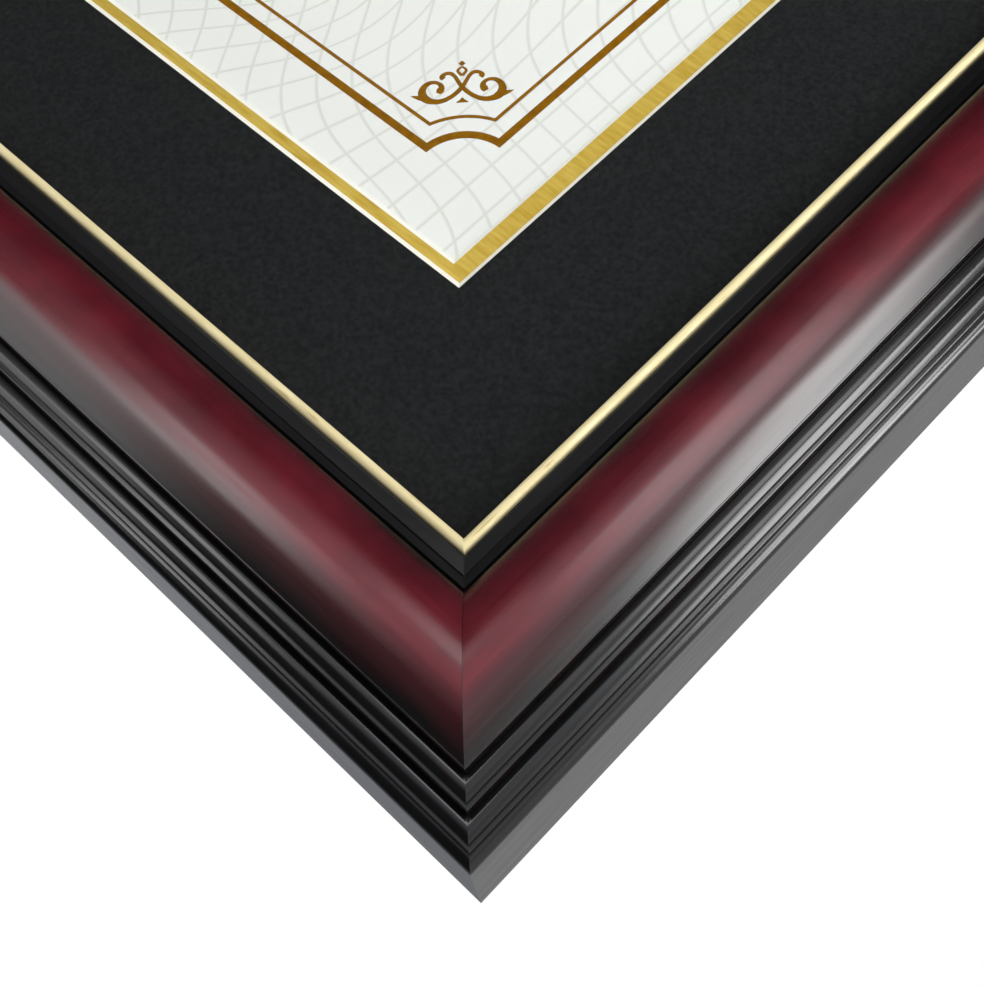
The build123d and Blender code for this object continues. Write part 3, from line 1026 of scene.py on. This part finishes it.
# Each soft box: name, direction from the seen corner, distance, width and height in metres, and watts.
SOFT_BOXES = (
    ("front_box", (-0.1, -0.86, 0.5), 1.2, 0.53, 0.189, 1.43),
    ("upper_left_box", (-0.405, -0.623, 0.669), 1.2, 0.808, 0.423, 2.4),
    ("right_box", (0.42, -0.906, 0.05), 0.8, 0.24, 0.4, 1.0),
    ("low_right_box", (0.455, -0.669, -0.588), 0.7, 0.19, 0.375, 2.3),
    ("under_right_box", (0.46, -0.263, -0.848), 0.55, 0.2, 0.185, 1.4),
    ("back_box", (0.25, 0.85, 0.46), 1.4, 1.0, 1.0, 6.0),
)
SEEN_CORNER = Vector((-0.15, -0.03, -0.29))
CAMERA_PLACE = Vector((-0.2379, -0.2439, -0.4042))
CAMERA_AIM = Vector((0.27968, 0.88899, 0.36261))
CAMERA_UP = Vector((0.66441, -0.45184, 0.59531))


class PIECES_OT_stage(bpy.types.Operator):
    """Set the floor, the light and the camera"""

    bl_idname = "certificate_frame.stage"
    bl_label = "Set stage"

    def execute(self, context):
        look = context.scene.certificate_stage
        self.lay_floor(context, look)
        self.light_world(context, look)
        for name, direction, distance, width, height, power in SOFT_BOXES:
            lamp = bpy.data.lights.new(name, "AREA")
            lamp.shape = "RECTANGLE"
            lamp.size = width
            lamp.size_y = height
            lamp.energy = power
            holder = bpy.data.objects.new(name, lamp)
            context.scene.collection.objects.link(holder)
            toward = Vector(direction).normalized()
            holder.location = SEEN_CORNER + toward * distance
            holder.rotation_euler = (-toward).to_track_quat("-Z", "Y").to_euler()
            holder.visible_camera = False
        self.set_camera(context, look)
        context.scene.view_settings.view_transform = "Standard"
        return {"FINISHED"}

    def lay_floor(self, context, look):
        """A pale floor that fades into the white background far from the frame."""
        # Matt painted board: flat and pale, with a trace of mottling.
        material, tree, shader, place = new_material("matt_white_board")
        path = add(tree, "ShaderNodeLightPath")
        mottle = add(tree, "ShaderNodeTexNoise", {"Vector": place, "Scale": per_metre(40), "Detail": 2.0})
        pale = add(tree, "ShaderNodeMapRange", {"Value": mottle.outputs[0], 1: 0.3, 2: 0.7, 3: 0.99, 4: 1.01})
        tone = add(tree, "ShaderNodeHueSaturation", {"Value": pale.outputs[0], "Color": look.floor})
        fill(tree, shader, {"Base Color": tone.outputs[0], "Roughness": 0.9})
        seen = add(
            tree,
            "ShaderNodeMath",
            {0: path.outputs["Is Camera Ray"], 1: path.outputs["Is Glossy Ray"]},
            operation="MAXIMUM",
        )
        seen = add(
            tree,
            "ShaderNodeMath",
            {0: seen.outputs[0], 1: path.outputs["Is Transmission Ray"]},
            operation="MAXIMUM",
        )
        reach = add(tree, "ShaderNodeVectorMath", {0: place}, operation="LENGTH")
        far = add(
            tree,
            "ShaderNodeMapRange",
            {"Value": reach.outputs["Value"], 1: 0.9, 2: 0.45 * look.floor_size, 3: 0.0, 4: 1.0},
            interpolation_type="SMOOTHSTEP",
        )
        faded = add(tree, "ShaderNodeMath", {0: far.outputs[0], 1: seen.outputs[0]}, operation="MULTIPLY")
        white = add(tree, "ShaderNodeEmission", {"Color": (1, 1, 1, 1), "Strength": 1.0})
        mixed = add(
            tree, "ShaderNodeMixShader", {0: faded.outputs[0], 1: shader.outputs[0], 2: white.outputs[0]}
        )
        tree.links.new(mixed.outputs[0], tree.nodes["Material Output"].inputs["Surface"])
        made = bmesh.new()
        bmesh.ops.create_grid(made, x_segments=1, y_segments=1, size=look.floor_size / 2)
        bmesh.ops.translate(made, verts=made.verts, vec=(0, 0, CAD_BOX[0][2] - look.floor_drop))
        mesh = bpy.data.meshes.new("floor")
        made.to_mesh(mesh)
        made.free()
        mesh.materials.append(material)
        floor = bpy.data.objects.new("floor", mesh)
        context.scene.collection.objects.link(floor)

    def light_world(self, context, look):
        """White for the camera, a dim studio for gloss, and an even light from all round for the rest."""
        world = bpy.data.worlds.new("studio")
        world.use_nodes = True
        context.scene.world = world
        tree = world.node_tree
        path = add(tree, "ShaderNodeLightPath")
        place = add(tree, "ShaderNodeTexCoord")
        way = add(tree, "ShaderNodeSeparateXYZ", {0: place.outputs["Generated"]})
        # Gloss sees a room that is lit a little right of the frame, and dark further out and overhead.
        # Each row: axis, where a change starts and ends along it, and the values before and after.
        rightwards, far_right, overhead, behind = [
            add(
                tree,
                "ShaderNodeMapRange",
                {"Value": way.outputs[axis], 1: start, 2: end, 3: before, 4: after},
                interpolation_type="SMOOTHSTEP",
            ).outputs[0]
            for axis, start, end, before, after in (
                ("X", -0.4, 0.3, look.dark_room, look.bright_room),
                ("X", 0.3, 0.66, 1.0, 0.04),
                ("Z", 0.4, 0.76, 1.0, 0.05),
                ("Y", 0.3, 0.7, 0.0, 1.0),
            )
        ]
        lit = add(tree, "ShaderNodeMath", {0: rightwards, 1: far_right}, operation="MULTIPLY")
        room = add(tree, "ShaderNodeMath", {0: lit.outputs[0], 1: overhead}, operation="MULTIPLY")
        wall = add(
            tree,
            "ShaderNodeMapRange",
            {"Value": way.outputs["X"], 1: -0.1, 2: 0.5, 3: 1.25 * look.backdrop, 4: 0.72 * look.backdrop},
        )
        seen = add(
            tree,
            "ShaderNodeMix",
            {0: behind, NUMBER_A: room.outputs[0], NUMBER_B: wall.outputs[0]},
            data_type="FLOAT",
        )
        shiny = add(
            tree,
            "ShaderNodeMath",
            {0: path.outputs["Is Glossy Ray"], 1: path.outputs["Is Transmission Ray"]},
            operation="MAXIMUM",
        )
        around = add(
            tree,
            "ShaderNodeMix",
            {0: shiny.outputs[0], NUMBER_A: look.ambient, NUMBER_B: seen.outputs[NUMBER_OUT]},
            data_type="FLOAT",
        )
        strength = add(
            tree,
            "ShaderNodeMix",
            {0: path.outputs["Is Camera Ray"], NUMBER_A: around.outputs[NUMBER_OUT], NUMBER_B: 1.0},
            data_type="FLOAT",
        )
        # What gloss sees is a little cool.
        tone = add(
            tree,
            "ShaderNodeMix",
            {0: shiny.outputs[0], COLOUR_A: (1, 1, 1, 1), COLOUR_B: look.gloss_tint},
            data_type="RGBA",
        )
        fill(
            tree,
            tree.nodes["Background"],
            {"Color": tone.outputs[COLOUR_OUT], "Strength": strength.outputs[NUMBER_OUT]},
        )

    def set_camera(self, context, look):
        """A camera below and left of the lower left corner, rolled so that the corner points down."""
        lens = bpy.data.cameras.new("camera")
        lens.sensor_fit = "VERTICAL"
        lens.sensor_height = SENSOR_SIZE
        lens.sensor_width = SENSOR_SIZE
        lens.lens = look.lens
        lens.clip_start = 0.01
        camera = bpy.data.objects.new("camera", lens)
        context.scene.collection.objects.link(camera)
        right = CAMERA_AIM.cross(CAMERA_UP)
        turn = Matrix((right, CAMERA_UP, -CAMERA_AIM)).transposed().to_4x4()
        camera.matrix_world = Matrix.Translation(CAMERA_PLACE) @ turn
        context.scene.camera = camera


OPERATORS = (
    PIECES_OT_rails,
    PIECES_OT_gilt_slips,
    PIECES_OT_glass,
    PIECES_OT_mats,
    PIECES_OT_sheet,
    PIECES_OT_border,
    PIECES_OT_boards,
    PIECES_OT_buttons,
    PIECES_OT_hangers,
    PIECES_OT_bumpers,
    PIECES_OT_stage,
)


class PIECES_PT_frame(bpy.types.Panel):
    """Lists the steps that dress the frame"""

    bl_idname = "PIECES_PT_frame"
    bl_label = "Framed Certificate"
    bl_space_type = "VIEW_3D"
    bl_region_type = "UI"
    bl_category = "Framed Certificate"

    def draw(self, context):
        for name in LOOKS:
            group = getattr(context.scene, name)
            box = self.layout.box()
            for prop in group.bl_rna.properties:
                if prop.identifier not in ("rna_type", "name"):
                    box.prop(group, prop.identifier)
        for operator in OPERATORS:
            self.layout.operator(operator.bl_idname)


CLASSES = (*LOOKS.values(), *OPERATORS, PIECES_PT_frame)


def register():
    for part in CLASSES:
        bpy.utils.register_class(part)
    for name, group in LOOKS.items():
        setattr(bpy.types.Scene, name, PointerProperty(type=group))


def unregister():
    for name in LOOKS:
        delattr(bpy.types.Scene, name)
    for part in reversed(CLASSES):
        bpy.utils.unregister_class(part)


def main():
    """Registers the add-on and runs its steps in order."""
    register()
    bpy.ops.certificate_frame.rails()
    bpy.ops.certificate_frame.gilt_slips()
    bpy.ops.certificate_frame.glass()
    bpy.ops.certificate_frame.mats()
    bpy.ops.certificate_frame.sheet()
    bpy.ops.certificate_frame.border()
    bpy.ops.certificate_frame.boards()
    bpy.ops.certificate_frame.buttons()
    bpy.ops.certificate_frame.hangers()
    bpy.ops.certificate_frame.bumpers()
    bpy.ops.certificate_frame.stage()


if __name__ == "__main__":
    main()
